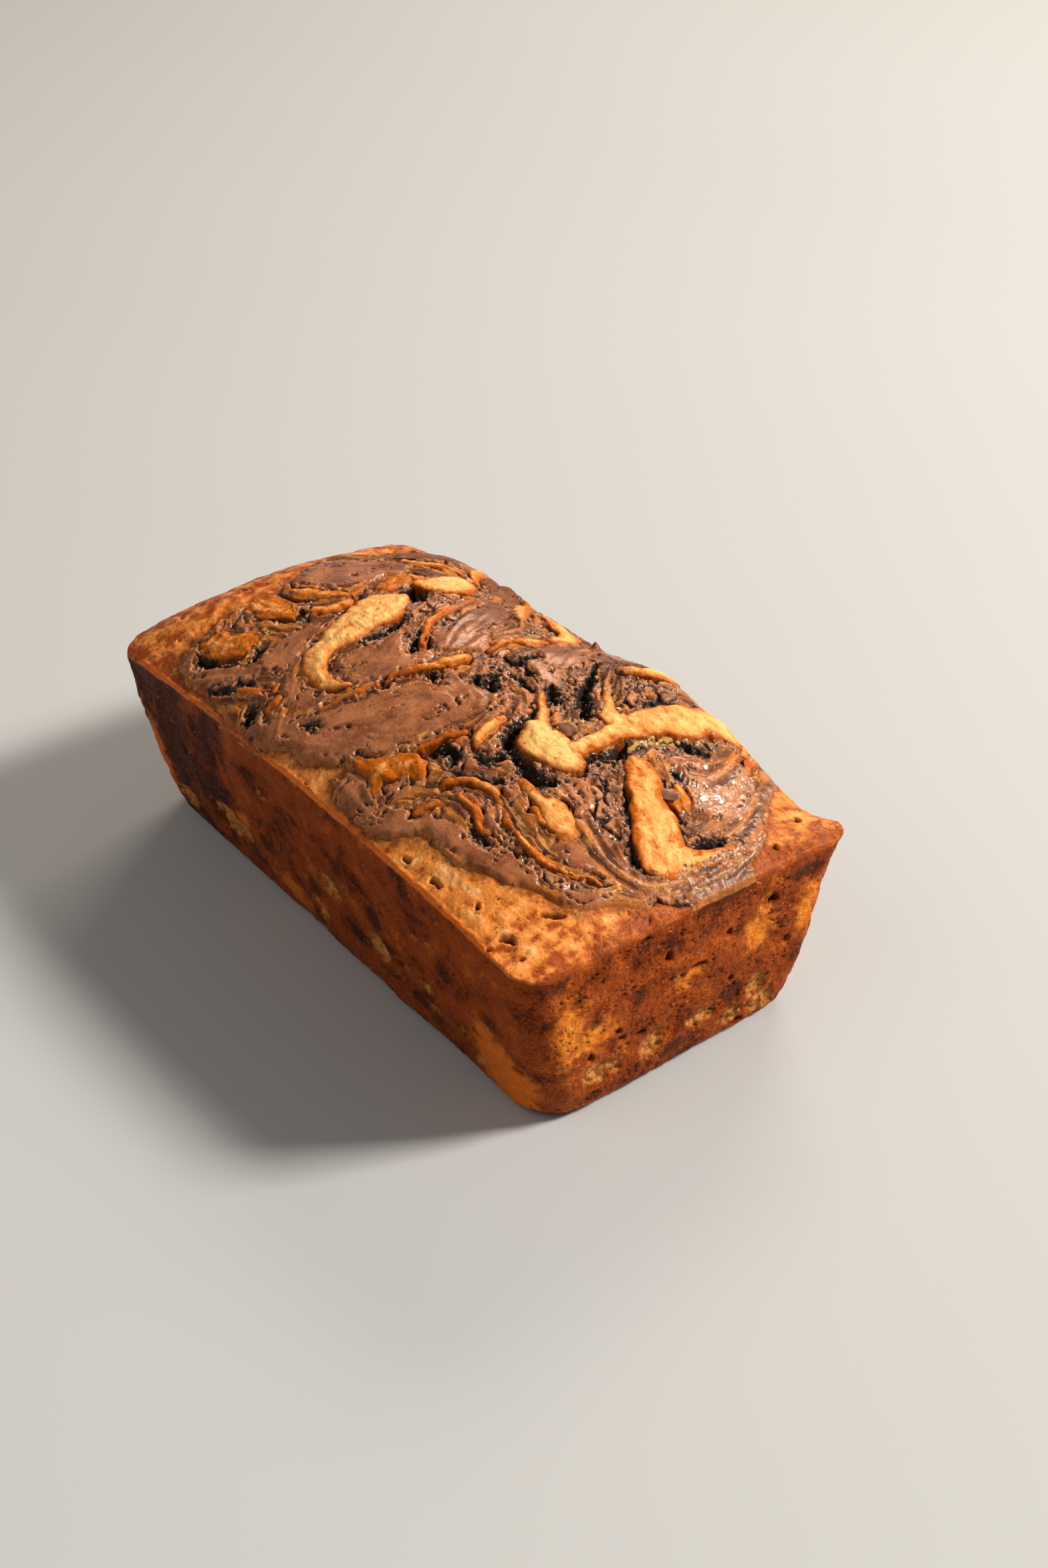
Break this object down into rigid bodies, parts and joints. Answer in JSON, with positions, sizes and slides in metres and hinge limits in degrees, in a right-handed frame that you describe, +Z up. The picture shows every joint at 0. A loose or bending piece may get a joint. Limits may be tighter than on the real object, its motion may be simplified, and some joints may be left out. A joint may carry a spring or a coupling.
{
  "type": "chocolate banana bread",
  "caption": "Uncut chocolate-marbled banana bread loaf with flared tin-baked sides, a domed cracked top and swirls of pale batter over chocolate",
  "frame": {"origin": "on the resting face, under the middle of the loaf", "axes": "+X along the loaf towards one short end, +Y across it, +Z up through the domed top"},
  "size_m": [0.2165, 0.1158, 0.0876],
  "materials": {
    "crust": "baked crust, satin where the chocolate shows"
  },
  "bodies": {
    "root": {"loaf": "crust"}
  },
  "joints": []
}
